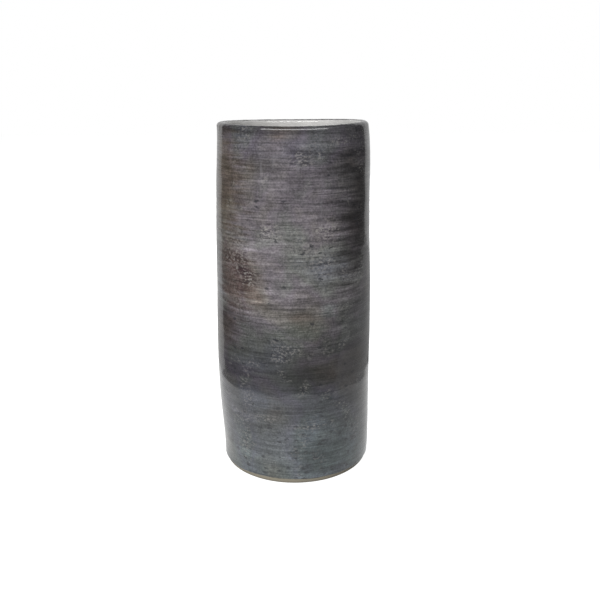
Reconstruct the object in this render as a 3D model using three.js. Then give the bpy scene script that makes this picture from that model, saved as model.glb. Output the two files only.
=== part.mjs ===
// Tall glazed cylinder vase for cut flowers, in millimetres, +Z up.
// The origin is the centre of the foot, on the table. The vase's front faces -Y.
//
// Four layers that fit face to face:
//   base_slab    fired clay disc with a turned foot ring; the wall stands on its rim
//   clay_wall    fired clay tube with a rounded lip and a cove inside its foot
//   outer_glaze  brushed glaze coat on the outside, over the lip, down to the bare foot
//   inner_glaze  pale liner glaze on the inside wall, the cove and the floor

import * as THREE from 'three';

// ---- driving dimensions -------------------------------------------------------------------

const HEIGHT = 400;                 // foot to lip
const WIDEST_RADIUS = 88.9;         // outside of the glaze at the belly
const WALL = 7;                     // fired clay wall
const GLAZE = 1;                    // each glaze coat
const SEGMENTS = 60;                // facets round the axis

// The outline of the side: how far up (as a share of the height), and how far the glazed
// surface draws in there from the widest radius. A cylinder with a slight belly.
const SEAM_DRAW = 1.6;
const SIDE = [
  [0.08, 1.1],
  [0.20, 0.4],
  [0.40, 0],
  [0.60, 0.6],
  [0.80, 1.5],
  [0.96, 3.0],
];
const SIDE_STEPS = 14;              // steps of the outline between the seam and the lip

const SLAB_TOP = 12;                // top of the base slab, where the wall stands
const FOOT_ROUND = 4.6;             // rounding of the slab's lower outside edge
const FOOT_DRAW = 0.4;              // how far the clay draws in from the seam to that rounding
const FOOT_RING_WIDTH = 15;         // flat ring that touches the table
const RECESS_DEPTH = 3;             // hollow turned under the slab
const RECESS_FLARE = 2;             // slope of the recess wall
const COVE = 8;                     // clay pressed into the inside corner
const COVE_CLEAR = 4;               // plain wall between the cove and the next outline point

const LIP_ROUND = WALL / 2;         // the clay lip is a full round
const GLAZE_SEAM_DEG = 150;         // where the two glazes meet on the lip, from the outside

const GLAZE_EDGE_ROLL = 1.6;        // height over which the lower edge rolls to full thickness
const GLAZE_EDGE_THICK = 0.72;      // share of the full thickness just above the edge
const GLAZE_EDGE_MARGIN = 0.9;      // least bare clay below the edge, and full glaze below the seam

// ---- the side's outline -------------------------------------------------------------------

const lipCentreZ = HEIGHT - LIP_ROUND - GLAZE;

// The clay's outside, as [radius, height], from the slab's top to the level of the lip's centre.
function clayOutside() {
  const stations = [
    new THREE.Vector2(SLAB_TOP, WIDEST_RADIUS - SEAM_DRAW),
    ...SIDE.map(([up, draw]) => new THREE.Vector2(HEIGHT * up, WIDEST_RADIUS - draw)),
  ];
  const spline = new THREE.SplineCurve(stations);
  const line = [];
  for (let i = 0; i <= SIDE_STEPS; i += 1) {
    const p = spline.getPoint(i / SIDE_STEPS);
    line.push([p.y - GLAZE, p.x]);
  }
  const [belowR, belowZ] = line[line.length - 2];
  const [lastR, lastZ] = line[line.length - 1];
  const slope = (lastR - belowR) / (lastZ - belowZ);
  line.push([lastR + slope * (lipCentreZ - lastZ), lipCentreZ]);
  return line;
}

const clayLine = clayOutside();
const claySide = clayLine.slice(0, -1);
const seamRadius = clayLine[0][0];
const lipOutside = clayLine[clayLine.length - 1][0];
const lipCentreR = lipOutside - LIP_ROUND;

// Points on a round about the lip's centre, from one angle to another (degrees, 0 = outwards).
function lipArc(radius, fromDeg, toDeg, steps) {
  const points = [];
  for (let i = 0; i <= steps; i += 1) {
    const a = THREE.MathUtils.degToRad(fromDeg + ((toDeg - fromDeg) * i) / steps);
    points.push([lipCentreR + radius * Math.cos(a), lipCentreZ + radius * Math.sin(a)]);
  }
  return points;
}

// A quarter round in the inside corner, from the wall down to the floor.
function cove(radius, floorZ, wallR) {
  const steps = 4;
  const points = [];
  for (let i = 0; i <= steps; i += 1) {
    const a = (Math.PI / 2) * (i / steps);
    points.push([wallR - radius + radius * Math.cos(a), floorZ + radius - radius * Math.sin(a)]);
  }
  return points;
}

const clayLipOuter = lipArc(LIP_ROUND, 0, GLAZE_SEAM_DEG, 5);
const clayLipInner = lipArc(LIP_ROUND, GLAZE_SEAM_DEG, 180, 1);
const clayInside = claySide
  .map(([r, z]) => [r - WALL, z])
  .filter(([, z]) => z > SLAB_TOP + COVE + COVE_CLEAR);
const clayCove = cove(COVE, SLAB_TOP, seamRadius - WALL);

// ---- solids of revolution -----------------------------------------------------------------

// Turns a [radius, height] outline about +Z into one closed body. The outline runs anticlockwise,
// with the radius to the right and the height up, so that the faces look outwards. It either
// starts and ends on the axis or closes on itself. Two layers that share a stretch of outline
// get the same facets there, because each facet's diagonal is chosen by height and not by the
// way the outline runs.
function turned(name, outline, look, edit) {
  const position = [];
  const index = [];
  const rings = outline.map(([r, z]) => {
    const first = position.length / 3;
    const count = r === 0 ? 1 : SEGMENTS;
    for (let i = 0; i < count; i += 1) {
      const angle = (2 * Math.PI * i) / SEGMENTS;
      position.push(r * Math.cos(angle), r * Math.sin(angle), z);
    }
    return { first, count, r, z };
  });
  const at = (ring, i) => ring.first + (i % ring.count);
  const closed = outline[0][0] > 0;
  const spans = closed ? rings.length : rings.length - 1;
  for (let j = 0; j < spans; j += 1) {
    const low = rings[j];
    const high = rings[(j + 1) % rings.length];
    const climbs = high.z > low.z || (high.z === low.z && high.r > low.r);
    for (let i = 0; i < SEGMENTS; i += 1) {
      const [a, b] = [at(low, i), at(low, i + 1)];
      const [c, d] = [at(high, i + 1), at(high, i)];
      if (low.count === 1) {
        index.push(a, c, d);
      } else if (high.count === 1) {
        index.push(a, b, c);
      } else if (climbs) {
        index.push(a, b, c, a, c, d);
      } else {
        index.push(a, b, d, b, c, d);
      }
    }
  }
  const geometry = new THREE.BufferGeometry();
  geometry.setAttribute('position', new THREE.Float32BufferAttribute(position, 3));
  geometry.setIndex(index);
  if (edit) {
    edit(geometry);
  }
  geometry.computeVertexNormals();
  const mesh = new THREE.Mesh(geometry, new THREE.MeshStandardMaterial(look));
  mesh.name = name;
  return mesh;
}

// ---- base slab: recess, foot ring, rounded edge, then up to the seam ----------------------

const footRadius = seamRadius - FOOT_DRAW;
const ringInside = footRadius - FOOT_ROUND - FOOT_RING_WIDTH;

function footRounding() {
  const steps = 4;
  const points = [];
  for (let i = 0; i <= steps; i += 1) {
    const a = (Math.PI / 2) * (i / steps);
    points.push([
      footRadius - FOOT_ROUND + FOOT_ROUND * Math.sin(a),
      FOOT_ROUND - FOOT_ROUND * Math.cos(a),
    ]);
  }
  return points;
}

const slabOutline = [
  [0, RECESS_DEPTH],
  [ringInside - RECESS_FLARE, RECESS_DEPTH],
  [ringInside, 0],
  ...footRounding(),
  [seamRadius, SLAB_TOP],
  [0, SLAB_TOP],
];

// ---- clay wall: up the outside, over the lip, down the inside and round the cove ----------

const wallOutline = [
  ...claySide,
  ...clayLipOuter,
  ...clayLipInner.slice(1),
  ...clayInside.slice().reverse(),
  ...clayCove,
];

// ---- outer glaze: one coat outside the clay, over the lip, with a wandering lower edge ----

const slabSlope = FOOT_DRAW / (SLAB_TOP - FOOT_ROUND);
const slabRadiusAt = (z) => seamRadius - slabSlope * (SLAB_TOP - z);
const edgeWander = (SLAB_TOP - FOOT_ROUND - GLAZE_EDGE_ROLL) / 2 - GLAZE_EDGE_MARGIN;
const edgeZ = FOOT_ROUND + GLAZE_EDGE_MARGIN + edgeWander;
const rollTop = edgeZ + GLAZE_EDGE_ROLL;
const lowEdge = [
  [slabRadiusAt(edgeZ), edgeZ],
  [slabRadiusAt(edgeZ) + GLAZE * GLAZE_EDGE_THICK, edgeZ + GLAZE_EDGE_ROLL * 0.2],
  [slabRadiusAt(rollTop) + GLAZE, rollTop],
];

const coatSide = claySide.map(([r, z]) => [r + GLAZE, z]);

const outerOutline = [
  ...lowEdge,
  ...coatSide,
  ...lipArc(LIP_ROUND + GLAZE, 0, GLAZE_SEAM_DEG, 10),
  ...clayLipOuter.slice().reverse(),
  ...claySide.slice().reverse(),
];

// How far the edge climbs or dips, from -1 to 1: it climbs at the front right.
function wander(angle) {
  const swing = 0.62 * Math.cos(angle + Math.PI / 3);
  return swing + 0.24 * Math.sin(3 * angle + 0.8) + 0.14 * Math.sin(7 * angle + 2.0);
}

// Slides the points of the lower edge up and down the slab's side, so they stay on the clay.
function waveLowEdge(geometry) {
  const position = geometry.getAttribute('position');
  const wavedBelow = (rollTop + SLAB_TOP) / 2;
  for (let i = 0; i < position.count; i += 1) {
    const [x, y, z] = [position.getX(i), position.getY(i), position.getZ(i)];
    if (z < wavedBelow) {
      const r = Math.hypot(x, y);
      const lift = edgeWander * wander(Math.atan2(y, x));
      const k = (r + slabSlope * lift) / r;
      position.setXYZ(i, x * k, y * k, z + lift);
    }
  }
}

// ---- inner glaze: from the seam on the lip down the wall, round the cove, over the floor --

const floorZ = SLAB_TOP + GLAZE;
const innerOutline = [
  [0, SLAB_TOP],
  ...clayCove.slice().reverse(),
  ...clayInside,
  ...clayLipInner.slice().reverse(),
  ...lipArc(LIP_ROUND + GLAZE, GLAZE_SEAM_DEG, 180, 2),
  ...clayInside.map(([r, z]) => [r - GLAZE, z]).reverse(),
  ...cove(COVE - GLAZE, floorZ, seamRadius - WALL - GLAZE),
  [0, floorZ],
];

// ---- assembly -----------------------------------------------------------------------------

const SLAB_LOOK = { color: '#b7a48a', roughness: 0.85, metalness: 0 };
const WALL_LOOK = { color: '#ad9a80', roughness: 0.85, metalness: 0 };
const OUTER_LOOK = { color: '#58575a', roughness: 0.18, metalness: 0 };
const INNER_LOOK = { color: '#b9b9b7', roughness: 0.2, metalness: 0 };

const group = new THREE.Group();
group.name = 'vase';
group.add(turned('base_slab', slabOutline, SLAB_LOOK));
group.add(turned('clay_wall', wallOutline, WALL_LOOK));
group.add(turned('outer_glaze', outerOutline, OUTER_LOOK, waveLowEdge));
group.add(turned('inner_glaze', innerOutline, INNER_LOOK));

export default group;
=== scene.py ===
# %% [markdown]
# # A tall brushed-glaze cylinder vase
# The real vase is fired clay with two glazes: a dark one brushed on in level strokes outside,
# and a pale liner glaze poured inside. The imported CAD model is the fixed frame. Every visible
# layer is built again here at a finer grain, around the same axis and the same radii, because
# what makes a hand-made pot look real is small: an uneven lip, a wandering glaze edge, faint
# finger rings and brush ridges.

# %% Load the frame
import math
import random

import bpy
import numpy as np
from mathutils import Matrix, Vector


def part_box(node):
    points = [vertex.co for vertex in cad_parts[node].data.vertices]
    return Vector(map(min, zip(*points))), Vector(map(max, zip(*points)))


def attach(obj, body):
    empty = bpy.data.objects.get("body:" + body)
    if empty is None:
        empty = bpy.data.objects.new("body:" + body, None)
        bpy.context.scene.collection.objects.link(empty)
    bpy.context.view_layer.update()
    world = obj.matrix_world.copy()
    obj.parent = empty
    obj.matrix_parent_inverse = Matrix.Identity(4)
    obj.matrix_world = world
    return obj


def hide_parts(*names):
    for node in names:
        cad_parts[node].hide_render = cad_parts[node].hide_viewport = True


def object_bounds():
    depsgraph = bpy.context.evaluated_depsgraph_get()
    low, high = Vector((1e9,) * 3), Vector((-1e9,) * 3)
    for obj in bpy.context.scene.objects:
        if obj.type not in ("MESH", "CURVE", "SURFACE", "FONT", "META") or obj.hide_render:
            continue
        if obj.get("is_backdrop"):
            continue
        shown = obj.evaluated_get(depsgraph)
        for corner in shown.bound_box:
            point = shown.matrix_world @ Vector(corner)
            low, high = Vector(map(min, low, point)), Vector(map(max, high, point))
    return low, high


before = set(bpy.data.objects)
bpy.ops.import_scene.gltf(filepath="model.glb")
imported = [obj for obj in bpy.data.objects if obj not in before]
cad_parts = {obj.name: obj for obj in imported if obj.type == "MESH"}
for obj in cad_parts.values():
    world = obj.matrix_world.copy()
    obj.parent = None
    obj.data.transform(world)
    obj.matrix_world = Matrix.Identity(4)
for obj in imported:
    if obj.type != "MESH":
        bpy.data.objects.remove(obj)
cad_low, cad_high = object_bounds()
scene = bpy.context.scene
scene.view_settings.view_transform = "Standard"
MM = 0.001
print("CAD box in mm:", [round(v / MM, 1) for v in (*cad_low, *cad_high)])

# %% [markdown]
# ## The outline, read from the frame
# A turned pot is one outline spun round an axis. The radii of the side come from the rings of
# the CAD solids, smoothed with a low polynomial: a spline through every ring would also do, but
# the polynomial removes the small kinks between the rings, which gloss would show.

# %% Radii of the clay's outside
GLAZE = 1.0 * MM
WALL = 7.0 * MM
SEAM_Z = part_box("clay_wall")[0].z
LIP_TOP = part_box("outer_glaze")[1].z
LIP_ROUND = WALL / 2
LIP_Z = LIP_TOP - LIP_ROUND - GLAZE
BELLY_Z = 160 * MM


def ring_radii(node):
    """Height and radius of every vertex of a CAD node, as two arrays."""
    points = np.array([v.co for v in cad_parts[node].data.vertices])
    return points[:, 2], np.hypot(points[:, 0], points[:, 1])


heights, radii = ring_radii("clay_wall")
outside = (radii > radii.max() - WALL * 0.9) & (heights < LIP_Z - 6 * MM)
side_curve = np.polynomial.Polynomial.fit(heights[outside], radii[outside], deg=5)


def clay_radius(z):
    """Outside radius of the bare clay at a height."""
    return side_curve(z)


LIP_R = float(clay_radius(LIP_Z)) - LIP_ROUND
print("clay radius at the seam, belly and lip in mm:",
      [round(float(clay_radius(z)) / MM, 2) for z in (SEAM_Z, BELLY_Z, LIP_Z)])

# %% [markdown]
# ## Hand-made unevenness
# No hand-made pot is perfectly round. Its left side swells two millimetres at the belly and
# draws in at the foot and the lip, its right side less so. In the fire the mouth warped up a
# little at both sides. Over that lie slow and quick waves: sums of sines with whole numbers of
# waves round the pot, so each layer closes on itself without a step. A fixed seed makes the
# same pot each time. Displacement by a noise texture would do too, but these curves can be
# asked for at any point, so all layers share them.

# %% Out of true, and a family of smooth waves
# (height, how far out), both in millimetres
LEFT_SIDE = [(0, -0.9), (45, -0.3), (100, 2.2), (170, 2.0), (260, 0.9), (340, -0.4), (400, -1.2)]
RIGHT_SIDE = [(0, 0.8), (60, 1.1), (120, 0.7), (180, 1.2), (250, 0.3), (330, 0.0), (400, -1.3)]
RIGHT_RISE = 1.9 * MM
LEFT_RISE = 1.4 * MM
RISE_FROM = 300 * MM
RISE_HEIGHT = 100 * MM
BODY_WAVE = 0.15 * MM
SKIN_WAVE = 0.13 * MM
RING_WAVE = 0.035 * MM
RING_PITCH = 13 * MM


def through(points):
    """A smooth curve of offset over height, both given in millimetres."""
    up, out = np.array(points).T * MM
    return np.polynomial.Polynomial.fit(up, out, deg=6)


left_curve = through(LEFT_SIDE)
right_curve = through(RIGHT_SIDE)


class Waves:
    """A smooth random field over angle and height, between about -1 and 1.

    It sums count sines. rounds is the fewest and the most waves round the pot, and pitch the
    shortest wave up it.
    """

    def __init__(self, seed, rounds, pitch, count=9):
        dice = random.Random(seed)
        self.terms = []
        for _ in range(count):
            turns = dice.randint(*rounds)
            climb = dice.uniform(-1, 1) * math.tau / pitch
            self.terms.append((turns, climb, dice.uniform(0, math.tau), dice.uniform(0.5, 1)))
        self.total = math.sqrt(sum(t[3] ** 2 for t in self.terms) / 2) * 2

    def at(self, angle, z):
        field = sum(a * np.sin(n * angle + k * z + p) for n, k, p, a in self.terms)
        return field / self.total


body_waves = Waves(3, (2, 4), 190 * MM)
skin_waves = Waves(11, (3, 14), 34 * MM, 12)
lip_waves = Waves(5, (5, 46), 30 * MM, 18)
edge_waves = Waves(8, (5, 26), 50 * MM, 10)


def out_of_true(angle, z):
    """How far every layer leaves the true circle."""
    right = ((1 + np.cos(angle)) / 2) ** 1.5
    left = ((1 - np.cos(angle)) / 2) ** 1.5
    return left * left_curve(z) + right * right_curve(z) + BODY_WAVE * body_waves.at(angle, z)


def lip_rise(angle, z):
    """How far the pot warped up at its right and left in the fire: only its top, most at the lip."""
    side = np.where(np.cos(angle) > 0, RIGHT_RISE, LEFT_RISE)
    near_lip = np.clip((z - RISE_FROM) / RISE_HEIGHT, 0, 1) ** 2
    return side * np.cos(angle) ** 2 * near_lip


def skin(angle, z):
    """How uneven the glaze is on top of that: fine unevenness and finger rings."""
    rings = np.sin(math.tau * z / RING_PITCH + angle + 0.9 * np.sin(2 * angle))
    return SKIN_WAVE * skin_waves.at(angle, z) + RING_WAVE * rings


# %% [markdown]
# ## Turning a layer
# Each layer is a closed skin: an outline of points, spun round the axis, with a small offset
# asked for at every point. The Screw modifier spins an outline too, but it can't vary the
# offset round the pot. Every layer leaves the true circle in the same way, so the layers stay
# face to face. The map named OFBake unrolls the skin like a label, so that baked patterns stay
# sharp: round the pot in one direction, along the outline in the other. The hidden side of a
# layer gets a narrow strip of that map.

# %% Turn an outline into a mesh
TURN = 288
HIDDEN_SHARE = 0.12


def turned(name, outline, shape, hidden=(), turn=TURN):
    """A closed mesh from an outline of (radius, height) points.

    shape(angle, radius, height, index) gives the radius and height to use at each angle.
    hidden is the range of outline indices that other layers cover.
    """
    outline = np.array(outline, float)
    on_axis = outline[0, 0] == 0
    rows = len(outline)
    angles = np.arange(turn) * math.tau / turn
    index = np.arange(rows)[:, None] + np.zeros(turn)[None, :]
    grid_a = angles[None, :] + np.zeros(rows)[:, None]
    grid_r = outline[:, 0][:, None] + np.zeros(turn)[None, :]
    grid_z = outline[:, 1][:, None] + np.zeros(turn)[None, :]
    true_r = grid_r
    grid_r, grid_z = shape(grid_a, grid_r, grid_z, index)
    grid_r = grid_r + out_of_true(grid_a, grid_z) * np.clip(true_r / LIP_R, 0, 1) ** 2
    grid_z = grid_z + lip_rise(grid_a, grid_z)
    points = np.stack([grid_r * np.cos(grid_a), grid_r * np.sin(grid_a), grid_z], -1)
    spans = rows - 1 if on_axis else rows
    steps = np.hypot(*(np.roll(outline, -1, 0) - outline).T)
    weight = np.ones(rows)
    if hidden:
        weight[hidden[0]:hidden[1]] = HIDDEN_SHARE
    along = np.concatenate([[0], np.cumsum((steps * weight)[:spans])])
    along = along / along[-1]
    verts, faces, uvs = [], [], []
    base = []
    for j in range(rows):
        base.append(len(verts))
        if on_axis and j in (0, rows - 1):
            verts.append((0.0, 0.0, float(points[j, 0, 2])))
        else:
            verts.extend(map(tuple, points[j].tolist()))
    for j in range(spans):
        k = (j + 1) % rows
        low, high = along[j], along[j + 1]
        for i in range(turn):
            n = (i + 1) % turn
            left, right = i / turn, (i + 1) / turn
            if on_axis and j == 0:
                faces.append((base[j], base[k] + n, base[k] + i))
                uvs.extend([((left + right) / 2, low), (right, high), (left, high)])
            elif on_axis and k == rows - 1:
                faces.append((base[j] + i, base[j] + n, base[k]))
                uvs.extend([(left, low), (right, low), ((left + right) / 2, high)])
            else:
                faces.append((base[j] + i, base[j] + n, base[k] + n, base[k] + i))
                uvs.extend([(left, low), (right, low), (right, high), (left, high)])
    mesh = bpy.data.meshes.new(name)
    mesh.from_pydata(verts, [], faces)
    layer = mesh.uv_layers.new(name="OFBake")
    layer.data.foreach_set("uv", np.array(uvs, np.float32).ravel())
    mesh.polygons.foreach_set("use_smooth", [True] * len(faces))
    mesh.update()
    piece = bpy.data.objects.new(name, mesh)
    scene.collection.objects.link(piece)
    print(name, "has", len(faces), "faces")
    return piece


def arc(centre, radius, start, stop, steps):
    """Points on a round, by angle in degrees; 0 points away from the axis."""
    turns = np.radians(np.linspace(start, stop, steps + 1))
    return [(centre[0] + radius * math.cos(a), centre[1] + radius * math.sin(a)) for a in turns]


# %% [markdown]
# ## Outer glaze coat
# The coat is about a millimetre of glass over the clay. It was brushed on while the pot turned,
# so it is uneven in level rings; it gathers in low lumps on the shoulder of the lip, and it
# stops unevenly a few millimetres above the table, in a rounded roll. All of that is in the
# mesh. Only the finest brush lines are left to the material.

# %% Outer glaze coat
SEAM_DEG = 128
EDGE_WANDER = 1.7 * MM
EDGE_Z = 5.8 * MM
EDGE_RIPPLE = 0.28 * MM
LUMP = 0.22 * MM
LUMPY_HEIGHT = 9 * MM
LIP_STEPS = 22
LIP_SAG = 0.16 * MM
LIP_SWAY = 0.10 * MM
SHOULDER_Z = 372 * MM
lip_centre = (LIP_R, LIP_Z)

side_heights = np.concatenate([
    np.linspace(SEAM_Z, SHOULDER_Z, 186),
    np.linspace(SHOULDER_Z + 2 * MM, LIP_Z, 16)])
# The roll at the lower edge: shares of the coat's thickness, and millimetres above the edge.
EDGE_ROLL = [(0.0, 0.0), (0.45, -0.05), (0.85, 0.25), (1.10, 0.85), (1.08, 1.6)]
edge_r = float(clay_radius(EDGE_Z))
coat_outline = [(edge_r + thick * GLAZE, EDGE_Z + up * MM) for thick, up in EDGE_ROLL]
coat_outline += [(float(clay_radius(z)) + GLAZE, float(z)) for z in side_heights[:-1]]
first_lip = len(coat_outline)
coat_outline += arc(lip_centre, LIP_ROUND + GLAZE, 0, SEAM_DEG, LIP_STEPS)
first_hidden = len(coat_outline)
coat_outline += arc(lip_centre, LIP_ROUND, SEAM_DEG, 0, 8)
coat_outline += [(float(clay_radius(z)), float(z)) for z in np.linspace(LIP_Z, SEAM_Z, 24)[1:]]


def glaze_edge(angle):
    """How far the lower edge of the glaze climbs: highest at the front right."""
    swing = 0.62 * np.cos(angle + math.pi / 3)
    ripple = 0.24 * np.sin(3 * angle + 0.8) + 0.14 * np.sin(7 * angle + 2.0)
    return EDGE_WANDER * (swing + ripple) + EDGE_RIPPLE * edge_waves.at(angle, 0)


def coat_shape(angle, radius, z, index):
    """Unevenness of the outer coat: full on the outside, none where it lies on the clay."""
    outer = index < first_hidden
    uneven = skin(angle, z)
    lip_share = np.clip((z - (LIP_Z - LUMPY_HEIGHT)) / LUMPY_HEIGHT, 0, 1)
    lumps = LUMP * lip_share * lip_waves.at(angle, z * 1.5)
    lip_angle = np.radians((index - first_lip) / LIP_STEPS * SEAM_DEG)
    toward = np.where(index >= first_lip, np.cos(lip_angle), 1)
    grown = radius + np.where(outer, uneven * (1 - 0.4 * lip_share) + lumps * toward, 0)
    top_share = np.where(outer & (index >= first_lip), np.sqrt(np.clip(1 - toward ** 2, 0, 1)), 0)
    raised = z + top_share * (0.5 * lumps - LIP_SAG + LIP_SWAY * body_waves.at(angle, 0))
    # The roll follows the wandering edge, and the first row above it a third of the way.
    first_side = len(EDGE_ROLL)
    follows_edge = np.where(index < first_side, 1, np.where(index == first_side, 0.35, 0))
    return grown, raised + follows_edge * glaze_edge(angle)


glaze_coat = turned("glaze_coat", coat_outline, coat_shape, (first_hidden, len(coat_outline)))
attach(glaze_coat, "root")
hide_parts("outer_glaze")

# %% [markdown]
# ## Liner glaze
# The pale glaze was poured in and swilled round. It is smoother than the outside, with soft
# finger rings under it that climb in a slow spiral, and it meets the dark glaze just inside
# the lip. The corner of the floor is a cove, because clay is pressed into it to seal the seam.

# %% Liner glaze
COVE = 8 * MM
SPIRAL_PITCH = 16 * MM
SPIRAL_WAVE = 0.16 * MM
floor_z = SEAM_Z + GLAZE
liner_r = float(clay_radius(SEAM_Z)) - WALL - GLAZE
clay_in = float(clay_radius(SEAM_Z)) - WALL
inner_heights = np.linspace(SEAM_Z + COVE + 6 * MM, LIP_Z, 110)

liner_outline = [(0.0, SEAM_Z)]
liner_outline += arc((clay_in - COVE, SEAM_Z + COVE), COVE, -90, 0, 6)
liner_outline += [(float(clay_radius(z)) - WALL, float(z)) for z in inner_heights[::6]]
liner_outline += arc(lip_centre, LIP_ROUND, 180, SEAM_DEG, 3)
first_inner = len(liner_outline)
liner_outline += arc(lip_centre, LIP_ROUND + GLAZE, SEAM_DEG, 180, 8)
liner_outline += [(float(clay_radius(z)) - WALL - GLAZE, float(z)) for z in inner_heights[-2::-1]]
liner_outline += arc((liner_r - COVE + GLAZE, floor_z + COVE - GLAZE), COVE - GLAZE, 0, -90, 10)
liner_outline += [(r * MM, floor_z) for r in (60, 48, 36, 24, 12)]
liner_outline += [(0.0, floor_z)]


def liner_shape(angle, radius, z, index):
    """Finger rings on the wall, fading out towards the floor and the lip."""
    inner = index >= first_inner
    spiral = np.sin(math.tau * z / SPIRAL_PITCH - angle)
    off_floor = np.clip((z - floor_z - COVE) / (20 * MM), 0, 1)
    off_lip = np.clip((LIP_Z - z) / (8 * MM), 0, 1)
    drift = np.where(inner, off_floor * off_lip * (SPIRAL_WAVE * spiral + 0.6 * skin(angle, z)), 0)
    return radius + drift, z


liner_coat = turned("liner_coat", liner_outline, liner_shape, (0, first_inner), turn=192)
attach(liner_coat, "root")
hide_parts("inner_glaze")

# %% [markdown]
# ## Clay body
# Between the two glazes stands the clay wall. Nothing of it shows, but it is there: it
# follows the same unevenness as the glazes, so they sit on it face to face all the way round.

# %% Clay body
wall_heights = np.linspace(SEAM_Z, LIP_Z, 48)
body_outline = [(float(clay_radius(z)), float(z)) for z in wall_heights[:-1]]
body_outline += arc(lip_centre, LIP_ROUND, 0, 180, 14)
body_outline += [(float(clay_radius(z)) - WALL, float(z)) for z in wall_heights[-2:2:-1]]
body_outline += arc((clay_in - COVE, SEAM_Z + COVE), COVE, 0, -90, 6)


def plain(angle, radius, z, index):
    """No unevenness besides the one that all layers share."""
    return radius, z


clay_body = turned("clay_body", body_outline, plain, turn=144)
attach(clay_body, "root")
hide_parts("clay_wall")

# %% [markdown]
# ## Bare foot
# Below the glaze the clay itself shows as a thin beige line. The foot was trimmed with a loop
# tool on the wheel: its edge is softened, the ring that touches the table is flat, and the
# hollow inside the ring keeps shallow tool rings. It is one closed disc.

# %% Bare foot
FOOT_DRAW = 0.4 * MM
foot_r = float(ring_radii("base_slab")[1].max()) - FOOT_DRAW
ROUND = 4.6 * MM
RING = 15 * MM
RECESS = 3 * MM
RECESS_ROUND = 1.2 * MM
RECESS_STEPS = 46
TOOL_PITCH = 4.2 * MM
TOOL_RING = 0.14 * MM
ring_in = foot_r - ROUND - RING

foot_outline = [(0.0, RECESS)]
foot_outline += [(r, RECESS) for r in np.linspace(1.5 * MM, ring_in - 3 * MM, RECESS_STEPS)]
foot_outline += arc((ring_in - 3.2 * MM, RECESS - RECESS_ROUND), RECESS_ROUND, 90, 30, 4)
foot_outline += [(ring_in - 0.9 * MM, 0.55 * MM), (ring_in - 0.3 * MM, 0.14 * MM)]
foot_outline += [(ring_in + 0.4 * MM, 0.0)]
foot_outline += [(ring_in + 5 * MM, 0.0), (ring_in + 10 * MM, 0.0)]
foot_outline += arc((foot_r - ROUND, ROUND), ROUND, -90, 0, 9)
foot_outline += [(foot_r + 0.1 * MM, 7 * MM), (foot_r + 0.3 * MM, 9.5 * MM)]
foot_outline += [(foot_r + FOOT_DRAW, SEAM_Z), (0.0, SEAM_Z)]


def foot_shape(angle, radius, z, index):
    """Tool rings in the hollow, and a slightly uneven outer edge."""
    hollow = (index > 0) & (index < RECESS_STEPS)
    rings = TOOL_RING * np.sin(math.tau * radius / TOOL_PITCH + 0.6 * np.sin(angle))
    raised = z + np.where(hollow, rings, 0)
    outer = (radius > ring_in + 12 * MM) & (z > 0.3 * MM) & (z < SEAM_Z - 1 * MM)
    return radius + np.where(outer, 0.10 * MM * skin_waves.at(angle, z), 0), raised


foot_disc = turned("foot_disc", foot_outline, foot_shape, turn=192)
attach(foot_disc, "root")
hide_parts("base_slab")

# %% [markdown]
# ## Colours and nodes
# Colours are written as sRGB hex, the way a colour picker gives them, and turned to the linear
# values that shaders need. One function adds any node, with its settings and its links, so each
# material below reads as a list of what feeds what.

# %% Helpers for materials
def linear(hex_colour):
    """An sRGB hex colour as linear RGBA."""
    parts = [int(hex_colour[i:i + 2], 16) / 255 for i in (1, 3, 5)]
    return [c / 12.92 if c <= 0.04045 else ((c + 0.055) / 1.055) ** 2.4 for c in parts] + [1.0]


def add(tree, kind, inputs=None, stops=None, **settings):
    """Adds a node. inputs are values, hex colours or sockets to link; stops are a ramp's."""
    made = tree.nodes.new("ShaderNode" + kind)
    for key, value in settings.items():
        setattr(made, key, value)
    for socket, value in (inputs or {}).items():
        if isinstance(value, bpy.types.NodeSocket):
            tree.links.new(value, made.inputs[socket])
        elif isinstance(value, str):
            made.inputs[socket].default_value = linear(value)
        else:
            made.inputs[socket].default_value = value
    if stops:
        ramp = made.color_ramp
        while len(ramp.elements) < len(stops):
            ramp.elements.new(1.0)
        for element, (place, colour) in zip(ramp.elements, stops):
            element.position = place
            element.color = linear(colour)
    return made


def new_material(name):
    """An empty node material: its tree, its shader and the object coordinates."""
    material = bpy.data.materials.new(name)
    material.use_nodes = True
    tree = material.node_tree
    tree.nodes.clear()
    shader = add(tree, "BsdfPrincipled")
    add(tree, "OutputMaterial", {"Surface": shader.outputs["BSDF"]})
    place = add(tree, "TexCoord").outputs["Object"]
    return material, tree, shader, place


def finish_surface(tree, shader, colour, rough, bump):
    """Links what every surface here ends in: a colour, a roughness and a bump."""
    for socket, value in (("Base Color", colour), ("Roughness", rough), ("Normal", bump)):
        tree.links.new(value, shader.inputs[socket])


# %% [markdown]
# ## Brushed stoneware glaze
# The outside is a charcoal glaze put on with a wide brush while the pot turned on a wheel, under
# a clear gloss coat. The brush leaves level streaks about a millimetre wide and a finger long,
# and wider bands where strokes overlap. Each streak is noise stretched along the stroke: a noise
# scaled far more in height than across gives long thin marks, and because it is read in space
# and not round the pot, it has no seam. Over the streaks lie patches where the colour broke to
# brown, purple, green or blue as it melted, dark grey patches of painted shade on the right side,
# and rubbed, crackled patches.

# %% Brushed stoneware glaze: coordinates and streaks
brushed, tree, shader, place = new_material("brushed_stoneware_glaze")
parts = add(tree, "SeparateXYZ", {0: place})
height = parts.outputs["Z"]

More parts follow.
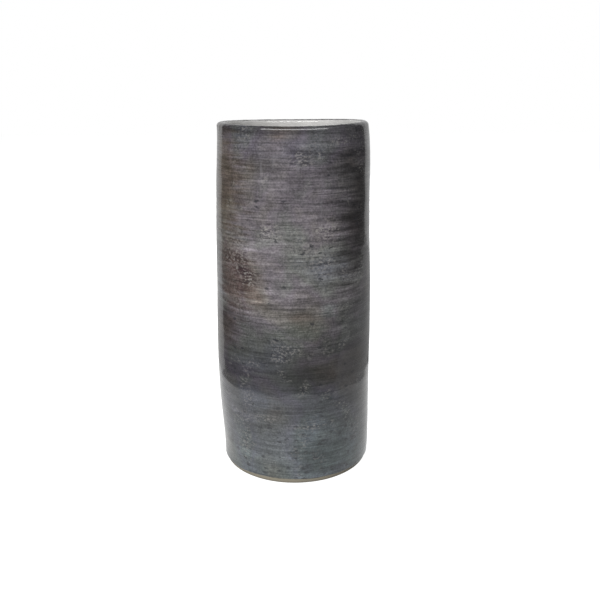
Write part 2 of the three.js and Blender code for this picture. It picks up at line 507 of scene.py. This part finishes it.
sway = add(tree, "TexNoise", {"Vector": place, "Scale": 9.0, "Detail": 2.0})
sway_mm = add(tree, "MapRange", {0: sway.outputs["Fac"], 1: 0.0, 2: 1.0, 3: -1.5 * MM, 4: 1.5 * MM})
level = add(tree, "Math", {0: height, 1: sway_mm.outputs[0]}, operation="ADD")
swayed = add(tree, "CombineXYZ", {0: parts.outputs["X"], 1: parts.outputs["Y"], 2: level.outputs[0]})


def strokes(length_mm, width_mm, detail, roughness, seed=0.0):
    """Noise drawn out into level strokes of about this length and width."""
    across = 1 / (length_mm * MM)
    up = 1 / (width_mm * MM)
    moved = add(tree, "Mapping", {"Vector": swayed.outputs[0], "Location": (seed, seed, seed),
                                  "Scale": (across, across, up)})
    return add(tree, "TexNoise", {"Vector": moved.outputs[0], "Scale": 1.0, "Detail": detail,
                                  "Roughness": roughness}).outputs["Fac"]


fine = strokes(34, 0.95, 2.0, 0.6)
middle = strokes(45, 4.2, 3.0, 0.6, 7.0)
broad = strokes(120, 22, 2.0, 0.5, 13.0)
mottle = add(tree, "TexNoise", {"Vector": place, "Scale": 480.0, "Detail": 2.0,
                                "Roughness": 0.65}).outputs["Fac"]
cloud = add(tree, "TexNoise", {"Vector": place, "Scale": 75.0, "Detail": 3.0,
                               "Roughness": 0.6}).outputs["Fac"]
print("brush strokes about 1, 4 and 22 mm wide; mottling about 2 mm")

# %% [markdown]
# ### How dark the glaze is, by height
# The overlapping strokes left the pot darkest in a belt about a third of the way up, palest
# round the middle and a little paler again towards the foot. A ramp over height holds that, and
# the strokes and a fine mottling move it up and down in tone.

# %% Tone by height and by stroke
TOP = cad_high.z
BELT = 132 * MM
# Each stop is a share of the height and the colour there.
share = add(tree, "MapRange", {0: level.outputs[0], 1: 0.0, 2: TOP, 3: 0.0, 4: 1.0})
belt = add(tree, "ValToRGB", {0: share.outputs[0]}, stops=[
    (0.00, "#576062"), (0.09, "#585e61"), (0.17, "#53575a"), (0.25, "#4b4d51"),
    (0.32, "#4a494b"), (0.395, "#504f4f"), (0.465, "#5d5c5c"), (0.535, "#716f6f"),
    (0.605, "#716f6f"), (0.67, "#767474"), (0.74, "#706e6e"), (0.805, "#5d5b5c"),
    (0.87, "#6c6a6b"), (0.93, "#646266"), (0.965, "#5e5c60"), (1.00, "#403f41")])

# Each row is a field, the two values it runs between, and the tone it gives at each.
tone = None
for field, low, high, dark, light in (
        (fine, 0.37, 0.63, 0.75, 1.27),
        (middle, 0.34, 0.66, 0.80, 1.20),
        (broad, 0.36, 0.64, 0.86, 1.14),
        (cloud, 0.34, 0.66, 0.84, 1.16),
        (mottle, 0.34, 0.66, 0.78, 1.25)):
    ranged = add(tree, "MapRange", {0: field, 1: low, 2: high, 3: dark, 4: light}).outputs[0]
    if tone:
        ranged = add(tree, "Math", {0: tone, 1: ranged}, operation="MULTIPLY").outputs[0]
    tone = ranged

# The strokes stand out less in the dark belt.
from_belt = add(tree, "Math", {0: level.outputs[0], 1: BELT}, operation="SUBTRACT").outputs[0]
from_belt = add(tree, "Math", {0: from_belt}, operation="ABSOLUTE").outputs[0]
contrast = add(tree, "MapRange", {0: from_belt, 1: 12 * MM, 2: 45 * MM, 3: 0.65, 4: 1.15}).outputs[0]
tone = add(tree, "Math", {0: tone, 1: contrast}, operation="POWER").outputs[0]
colour = add(tree, "VectorMath", {0: belt.outputs[0], 3: tone}, operation="SCALE").outputs[0]

# %% [markdown]
# ### Where the colour broke, and painted shade on the right
# Metal oxides in the glaze melt unevenly. Slow noise tints the whole surface a little, and a
# few larger patches are placed one by one: each is a soft spot round a point on the side, wider
# than it is tall, so that it looks drawn out by the brush.

# %% Slow tints, placed patches and painted shade
drift = add(tree, "TexNoise", {"Vector": place, "Scale": 13.0, "Detail": 3.0})
hue = add(tree, "ValToRGB", {0: drift.outputs["Fac"]}, stops=[
    (0.34, "#ffefe0"), (0.43, "#fbf7f0"), (0.51, "#f7f0fa"), (0.58, "#f2f8f3"), (0.68, "#edf4ff")])
colour = add(tree, "VectorMath", {0: colour, 1: hue.outputs[0]}, operation="MULTIPLY").outputs[0]


def patch(degrees, up_mm, wide_mm, tall_mm):
    """1 at a point of the side, fading to 0 at the given width and height from it."""
    angle = math.radians(degrees)
    radius = float(clay_radius(up_mm * MM)) + GLAZE
    spot = (math.cos(angle) * radius, math.sin(angle) * radius, up_mm * MM)
    away = add(tree, "VectorMath", {0: swayed.outputs[0], 1: spot}, operation="SUBTRACT")
    sized = add(tree, "VectorMath", {0: away.outputs[0], 1: (
        1 / (wide_mm * MM), 1 / (wide_mm * MM), 1 / (tall_mm * MM))}, operation="MULTIPLY")
    far = add(tree, "VectorMath", {0: sized.outputs[0]}, operation="LENGTH")
    ragged = add(tree, "MapRange", {0: middle, 1: 0.3, 2: 0.7, 3: -0.25, 4: 0.25})
    edge = add(tree, "Math", {0: far.outputs["Value"], 1: ragged.outputs[0]}, operation="ADD")
    return add(tree, "MapRange", {0: edge.outputs[0], 1: 1.0, 2: 0.15, 3: 0.0, 4: 1.0},
               interpolation_type="SMOOTHSTEP").outputs[0]


# Painted shade: the plain dark grey rows at -52, -44, -30, -40, -50, -28 and -38 degrees (at 100,
# 256, 190, 296, 346, 310 and 380 mm) darken the right side, away from the key light.
COLOUR_AND_SHADE_PATCHES = [
    # degrees round (-90 is the front), height, width, height of the patch, colour, strength
    (-150, 335, 52, 80, "#5c4f3f", 0.65),
    (-144, 270, 40, 36, "#594f47", 0.60),
    (-137, 236, 50, 54, "#4e3f3b", 0.85),
    (-126, 246, 17, 12, "#3a2c30", 0.85),
    (-150, 180, 38, 36, "#443a38", 0.60),
    (-132, 134, 50, 14, "#3a3540", 0.55),
    (-122, 100, 46, 20, "#565a61", 0.60),
    (-52, 100, 60, 22, "#3d4044", 0.35),
    (-84, 130, 46, 22, "#343633", 0.60),
    (-86, 184, 40, 17, "#666b65", 0.50),
    (-65, 205, 15, 12, "#747978", 0.65),
    (-38, 292, 22, 14, "#422c31", 0.70),
    (-44, 256, 38, 56, "#444041", 0.60),
    (-30, 190, 44, 40, "#444447", 0.55),
    (-40, 296, 44, 40, "#454346", 0.55),
    (-50, 346, 46, 34, "#48474a", 0.70),
    (-28, 310, 48, 130, "#323031", 0.70),
    (-38, 380, 34, 26, "#454347", 0.60),
    (-108, 342, 26, 18, "#7b7779", 0.40),
    (-98, 376, 46, 20, "#64616a", 0.60),
    (-84, 374, 34, 5, "#3c3a41", 0.50),
    (-56, 160, 50, 8, "#38383a", 0.50),
    (-70, 36, 42, 26, "#3c4344", 0.80),
    (-106, 46, 36, 30, "#64686d", 0.45),
    (60, 300, 60, 50, "#544d45", 0.50),
    (110, 180, 60, 60, "#464247", 0.50),
    (20, 140, 60, 40, "#454a48", 0.45),
    (150, 250, 50, 60, "#5a5551", 0.45),
]
# Each row is mixed in over the strokes; the dark grey rows on the right mix in painted shade.
for degrees, up_mm, wide_mm, tall_mm, tint_and_shade, strength in COLOUR_AND_SHADE_PATCHES:
    spot = patch(degrees, up_mm, wide_mm, tall_mm)
    amount = add(tree, "Math", {0: spot, 1: strength}, operation="MULTIPLY").outputs[0]
    stroke = add(tree, "VectorMath", {0: linear(tint_and_shade)[:3], 3: tone}, operation="SCALE").outputs[0]
    colour = add(tree, "Mix", {0: amount, 6: colour, 7: stroke}, data_type="RGBA").outputs[2]
print(len(COLOUR_AND_SHADE_PATCHES), "patches of broken colour")

# %% [markdown]
# ### Rubbed and crackled patches
# Round the middle and under the lip the top colour is broken, and paler glaze shows in grains
# of one or two millimetres with dark pits between. Slow noise and a few placed patches say
# where, fine noise says which grains.

# %% Rubbed grains
where = add(tree, "TexNoise", {"Vector": place, "Scale": 26.0, "Detail": 4.0, "Roughness": 0.65})
worn = add(tree, "MapRange", {0: where.outputs["Fac"], 1: 0.52, 2: 0.66, 3: 0.0, 4: 0.55},
           interpolation_type="SMOOTHSTEP").outputs[0]
WORN = [
    # degrees round, height, width, height of the patch, strength
    (-134, 262, 34, 40, 0.7),
    (-124, 240, 18, 14, 0.9),
    (-106, 290, 18, 14, 1.0),
    (-66, 292, 20, 16, 1.0),
    (-66, 260, 18, 12, 0.9),
    (-78, 274, 44, 40, 0.4),
    (-84, 366, 20, 12, 0.7),
    (-52, 384, 24, 9, 0.5),
    (-82, 72, 34, 5, 0.7),
    (-112, 80, 22, 8, 0.5),
]
for degrees, up_mm, wide_mm, tall_mm, strength in WORN:
    spot = patch(degrees, up_mm, wide_mm, tall_mm)
    spot = add(tree, "Math", {0: spot, 1: strength}, operation="MULTIPLY").outputs[0]
    worn = add(tree, "Math", {0: worn, 1: spot}, operation="MAXIMUM").outputs[0]
squat = add(tree, "Mapping", {"Vector": place, "Scale": (1.0, 1.0, 1.7)}).outputs[0]
grains = add(tree, "TexNoise", {"Vector": squat, "Scale": 270.0, "Detail": 4.0, "Roughness": 0.68})
pale_grain = add(tree, "MapRange", {0: grains.outputs["Fac"], 1: 0.50, 2: 0.60, 3: 0.0, 4: 0.7})
pale_grain = add(tree, "Math", {0: worn, 1: pale_grain.outputs[0]}, operation="MULTIPLY").outputs[0]
dark_grain = add(tree, "MapRange", {0: grains.outputs["Fac"], 1: 0.45, 2: 0.37, 3: 0.0, 4: 0.8})
dark_grain = add(tree, "Math", {0: worn, 1: dark_grain.outputs[0]}, operation="MULTIPLY").outputs[0]
colour = add(tree, "Mix", {0: pale_grain, 6: colour, 7: "#a29e9a"}, data_type="RGBA").outputs[2]
colour = add(tree, "Mix", {0: dark_grain, 6: colour, 7: "#39363a"}, data_type="RGBA").outputs[2]

# %% [markdown]
# ### Drips and pits
# A few thin paler drips ran down under the lip. Burst bubbles left dark pits, most of them low
# on the pot: the cells of a Voronoi pattern give each pit a place, a random number per cell
# leaves most cells empty, and the grain noise breaks each dot into ragged specks.

# %% Drips and pits
DRIPS = [
    # degrees round, height, width, height of the drip, strength
    (-112, 356, 1.8, 30, 0.30),
    (-103, 369, 2.4, 14, 0.24),
    (-70, 318, 1.8, 34, 0.32),
    (-86, 360, 2.8, 20, 0.24),
]
for degrees, up_mm, wide_mm, tall_mm, strength in DRIPS:
    spot = patch(degrees, up_mm, wide_mm, tall_mm)
    amount = add(tree, "Math", {0: spot, 1: strength}, operation="MULTIPLY").outputs[0]
    colour = add(tree, "Mix", {0: amount, 6: colour, 7: "#7c7a7e"}, data_type="RGBA").outputs[2]

cells = add(tree, "TexVoronoi", {"Vector": squat, "Scale": 105.0, "Randomness": 1.0})
lucky = add(tree, "SeparateColor", {0: cells.outputs["Color"]})
low_share = add(tree, "MapRange", {0: height, 1: 0.02, 2: 0.15, 3: 0.55, 4: 0.06})
chosen = add(tree, "Math", {0: lucky.outputs[0], 1: low_share.outputs[0]}, operation="LESS_THAN")
ragged_dot = add(tree, "Math", {0: grains.outputs["Fac"], 1: 0.5}, operation="SUBTRACT")
ragged_dot = add(tree, "Math", {0: ragged_dot.outputs[0], 1: 1.1, 2: cells.outputs["Distance"]},
                 operation="MULTIPLY_ADD")
dot = add(tree, "MapRange", {0: ragged_dot.outputs[0], 1: 0.20, 2: 0.36, 3: 1.0, 4: 0.0})
pit = add(tree, "Math", {0: dot.outputs[0], 1: chosen.outputs[0]}, operation="MULTIPLY").outputs[0]
pit_dark = add(tree, "Math", {0: pit, 1: 0.75}, operation="MULTIPLY").outputs[0]
colour = add(tree, "Mix", {0: pit_dark, 6: colour, 7: "#2f3034"}, data_type="RGBA").outputs[2]

# %% [markdown]
# ### Gloss and relief
# Fired glaze is glass: index of refraction about 1.5, not metallic, and smooth. The brushed
# colour under it is a little rougher, so the shader's own gloss is weak and soft, and a clear
# coat on top gives the sharp reflections. The strokes are raised by a few hundredths of a
# millimetre.

# %% Gloss and relief
relief = add(tree, "Math", {0: fine, 1: middle}, operation="ADD")
relief = add(tree, "Math", {0: relief.outputs[0], 1: pit}, operation="SUBTRACT")
bump = add(tree, "Bump", {"Height": relief.outputs[0], "Strength": 0.4, "Distance": 0.10 * MM})
rough = add(tree, "MapRange", {0: fine, 1: 0.3, 2: 0.7, 3: 0.36, 4: 0.22})
finish_surface(tree, shader, colour, rough.outputs[0], bump.outputs[0])
shader.inputs["IOR"].default_value = 1.5
shader.inputs["Specular IOR Level"].default_value = 0.2
shader.inputs["Coat Weight"].default_value = 0.8
shader.inputs["Coat Roughness"].default_value = 0.045
shader.inputs["Coat IOR"].default_value = 1.5
glaze_coat.data.materials.append(brushed)

# %% [markdown]
# ## Poured liner glaze
# The inside is a pale grey gloss glaze, poured and not brushed. It is nearly even, with slow
# clouding, a few iron specks and a very soft orange-peel surface.

# %% Poured liner glaze
liner, tree, shader, place = new_material("poured_liner_glaze")
cloud = add(tree, "TexNoise", {"Vector": place, "Scale": 20.0, "Detail": 4.0})
pale = add(tree, "ValToRGB", {0: cloud.outputs["Fac"]}, stops=[
    (0.30, "#a3a2a0"), (0.50, "#b4b3b1"), (0.70, "#c1c0be")])
speck_cells = add(tree, "TexVoronoi", {"Vector": place, "Scale": 190.0})
speck_luck = add(tree, "SeparateColor", {0: speck_cells.outputs["Color"]})
few = add(tree, "Math", {0: speck_luck.outputs[0], 1: 0.05}, operation="LESS_THAN").outputs[0]
speck = add(tree, "MapRange", {0: speck_cells.outputs["Distance"], 1: 0.06, 2: 0.14, 3: 0.6, 4: 0.0})
speck = add(tree, "Math", {0: few, 1: speck.outputs[0]}, operation="MULTIPLY").outputs[0]
lined = add(tree, "Mix", {0: speck, 6: pale.outputs[0], 7: "#7d6f60"}, data_type="RGBA").outputs[2]
peel = add(tree, "TexNoise", {"Vector": place, "Scale": 260.0, "Detail": 2.0})
bump = add(tree, "Bump", {"Height": peel.outputs["Fac"], "Strength": 0.25, "Distance": 0.1 * MM})
rough = add(tree, "MapRange", {0: cloud.outputs["Fac"], 1: 0.3, 2: 0.7, 3: 0.22, 4: 0.12})
finish_surface(tree, shader, lined, rough.outputs[0], bump.outputs[0])
shader.inputs["IOR"].default_value = 1.5
liner_coat.data.materials.append(liner)

# %% [markdown]
# ## Bare stoneware clay
# Fired clay without glaze: grey buff, matte, with sand grains up to about half a millimetre. All
# of it above the foot ring, the hollow too, is greyer: a thin wash of glaze was wiped off it
# with a sponge. The grain is drawn about twice as coarse as it is, so that it shows.

# %% Bare stoneware clay
clay, tree, shader, place = new_material("bare_stoneware_clay")
parts = add(tree, "SeparateXYZ", {0: place})
sand = add(tree, "TexNoise", {"Vector": place, "Scale": 900.0, "Detail": 4.0, "Roughness": 0.7})
wash = add(tree, "TexNoise", {"Vector": place, "Scale": 45.0, "Detail": 3.0})
buff = add(tree, "ValToRGB", {0: sand.outputs["Fac"]}, stops=[
    (0.30, "#7c705f"), (0.48, "#a3967f"), (0.70, "#bbae98")])
stain = add(tree, "MapRange", {0: wash.outputs["Fac"], 1: 0.40, 2: 0.70, 3: 0.0, 4: 0.4})
clay_colour = add(tree, "Mix", {0: stain.outputs[0], 6: buff.outputs[0], 7: "#857a6c"},
                  data_type="RGBA").outputs[2]
wiped = add(tree, "MapRange", {0: parts.outputs["Z"], 1: 0.2 * MM, 2: 2.5 * MM, 3: 0.0, 4: 0.85})
clay_colour = add(tree, "Mix", {0: wiped.outputs[0], 6: clay_colour, 7: "#8a8578"},
                  data_type="RGBA").outputs[2]
bump = add(tree, "Bump", {"Height": sand.outputs["Fac"], "Strength": 0.5, "Distance": 0.2 * MM})
rough = add(tree, "MapRange", {0: sand.outputs["Fac"], 1: 0.3, 2: 0.7, 3: 0.92, 4: 0.74})
finish_surface(tree, shader, clay_colour, rough.outputs[0], bump.outputs[0])
foot_disc.data.materials.append(clay)
clay_body.data.materials.append(clay)

# %% [markdown]
# ## Floor and cards
# The vase stands on a plain pale floor that runs on past the view. Gloss needs something to
# reflect, so cards stand round a glazed pot in a studio: here a pale board under it, a sweep
# behind it with its floor, a dimmer floor to its right, and a long curved lamp high in front,
# which only the round of the lip can mirror. The cards are seen only in the glaze. The floor
# glows almost white by itself, so lamps barely shade it.

# %% Floor and cards
def sheet(name, faces, glow, lit=False):
    """A stage piece from its faces, each a list of points in metres.

    glow is its brightness: one number, or two for its left and its right edge.
    """
    mesh = bpy.data.meshes.new(name)
    points = [p for face in faces for p in face]
    starts = np.cumsum([0] + [len(face) for face in faces])
    mesh.from_pydata(points, [], [list(range(a, b)) for a, b in zip(starts, starts[1:])])
    piece = bpy.data.objects.new(name, mesh)
    scene.collection.objects.link(piece)
    piece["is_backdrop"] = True
    material = bpy.data.materials.new(name)
    material.use_nodes = True
    tree = material.node_tree
    tree.nodes.clear()
    if isinstance(glow, tuple):
        side = add(tree, "SeparateXYZ", {0: add(tree, "TexCoord").outputs["Object"]}).outputs["X"]
        glow = add(tree, "MapRange", {0: side, 1: points[0][0] * -1, 2: points[0][0],
                                      3: glow[0], 4: glow[1]}).outputs[0]
    surface = add(tree, "Emission", {"Color": "#ffffff", "Strength": glow}).outputs[0]
    if lit:
        paper = add(tree, "BsdfDiffuse", {"Color": "#9a9a9a"})
        surface = add(tree, "AddShader", {0: surface, 1: paper.outputs[0]}).outputs[0]
        piece.visible_diffuse = False
        piece.visible_glossy = False
    else:
        for ray in ("camera", "diffuse", "shadow", "transmission", "volume_scatter"):
            setattr(piece, "visible_" + ray, False)
    add(tree, "OutputMaterial", {"Surface": surface})
    mesh.materials.append(material)


def ring_points(radius, z, start=0, stop=360, steps=96):
    """Points on a level ring or arc round the axis, by angle in degrees."""
    turns = np.radians(np.linspace(start, stop, steps + 1))
    return [(radius * math.cos(a), radius * math.sin(a), z) for a in turns]


def flat(z, *corners):
    """A level face at a height."""
    return [(x, y, z) for x, y in corners]


FLOOR = 6.0
sheet("pale_floor", [flat(-0.2 * MM, (-FLOOR, -FLOOR), (FLOOR, -FLOOR), (FLOOR, FLOOR),
                          (-FLOOR, FLOOR))], 0.985, lit=True)
board = [(0.31 * x, 0.02 + 0.35 * y, -1 * MM) for x, y, z in ring_points(1, 0)[:-1]]
sheet("card_board", [board], (0.91, 0.68))
sheet("card_left_floor", [flat(-2 * MM, (-0.33, 0.14), (-0.2, 0.25), (0.03, 0.35), (0.03, 1.05),
                               (-1.35, 1.05))], 0.55)
sheet("card_wall", [[(-1.35, 1.05, 0), (1.25, 1.05, 0), (1.25, 1.05, 1.3), (-1.35, 1.05, 1.3)]],
      0.55)
sheet("card_right_floor", [flat(-3 * MM, (0.03, 0.3), (1.15, 0.3), (1.15, 1.05), (0.03, 1.05)),
                           flat(-3 * MM, (0.25, -0.2), (1.15, -0.2), (1.15, 0.3), (0.25, 0.3))],
      0.33)
ARC_STEPS = 24
low_arc = ring_points(1.8, 1.35, -142, -34, ARC_STEPS)
high_arc = ring_points(1.8, 1.95, -142, -34, ARC_STEPS)
sheet("card_long_lamp", [[low_arc[i], low_arc[i + 1], high_arc[i + 1], high_arc[i]]
                         for i in range(ARC_STEPS)], 12.0)

# %% [markdown]
# ## Light
# One large soft key light high on the left of the camera shapes the round body: bright left of
# the middle, falling away to the right. A wide lamp behind and a weak one at the right light the
# sides that the key leaves dark, and a small one overhead lights the inside. The world is a dim
# room for the gloss and white for the camera.

# %% Lamps and world
def lamp(name, place, target, size, power):
    """A square soft light at a place, pointing at a target, that the gloss can't mirror."""
    light = bpy.data.lights.new(name, "AREA")
    light.size = size
    light.energy = power
    made = bpy.data.objects.new(name, light)
    made.location = place
    made.rotation_euler = (Vector(target) - Vector(place)).to_track_quat("-Z", "Y").to_euler()
    made.visible_glossy = False
    scene.collection.objects.link(made)


middle_of_pot = (0, 0, TOP / 2)
lamp("key", (-0.73, -2.0, 1.10), middle_of_pot, 0.7, 60)
lamp("back", (-0.3, 2.2, 1.3), middle_of_pot, 1.6, 90)
lamp("side", (2.0, 1.1, 0.8), middle_of_pot, 1.2, 16)
lamp("overhead", (0.0, 0.0, 1.7), (0, 0, 0.3), 0.4, 4)

world = bpy.data.worlds.new("room")
scene.world = world
world.use_nodes = True
tree = world.node_tree
tree.nodes.clear()
rays = add(tree, "LightPath")
seen = add(tree, "Background", {"Color": "#ffffff", "Strength": 1.0})
room = add(tree, "Background", {"Color": "#ffffff", "Strength": 0.05})
either = add(tree, "MixShader", {0: rays.outputs["Is Camera Ray"], 1: room.outputs[0],
                                 2: seen.outputs[0]})
add(tree, "OutputWorld", {"Surface": either.outputs[0]})

# %% [markdown]
# ## Camera
# The camera stands close, a little above the lip, and looks down at the middle of the pot, so
# the mouth is a thin slit and the foot a full curve. The numbers are distances from the vase
# and angles; a small vertical shift frames the pot.

# %% Camera
CAMERA_AT = Vector((7.3 * MM, -0.84, 0.44))
PITCH = math.radians(14.28)
ROLL = math.radians(-0.35)
lens = bpy.data.cameras.new("camera")
lens.sensor_width = 36.0
lens.lens = 44.27
lens.shift_y = -0.045
camera = bpy.data.objects.new("camera", lens)
scene.collection.objects.link(camera)
scene.camera = camera
right = Vector((1, 0, 0))
ahead = Vector((0, math.cos(PITCH), -math.sin(PITCH)))
up = Vector((0, math.sin(PITCH), math.cos(PITCH)))
turned_right = right * math.cos(ROLL) + up * math.sin(ROLL)
turned_up = up * math.cos(ROLL) - right * math.sin(ROLL)
pose = Matrix((turned_right, turned_up, -ahead)).transposed().to_4x4()
pose.translation = CAMERA_AT
camera.matrix_world = pose
print("camera", [round(v, 3) for v in CAMERA_AT],
      "looks down", round(math.degrees(PITCH), 1), "degrees")

# %% [markdown]
# ## Sizes and finish
# Both boxes are printed, so they can be compared.

# %% Write the sizes and finish
low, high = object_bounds()
print("visual box in mm:", [round(v / MM, 1) for v in (*low, *high)])
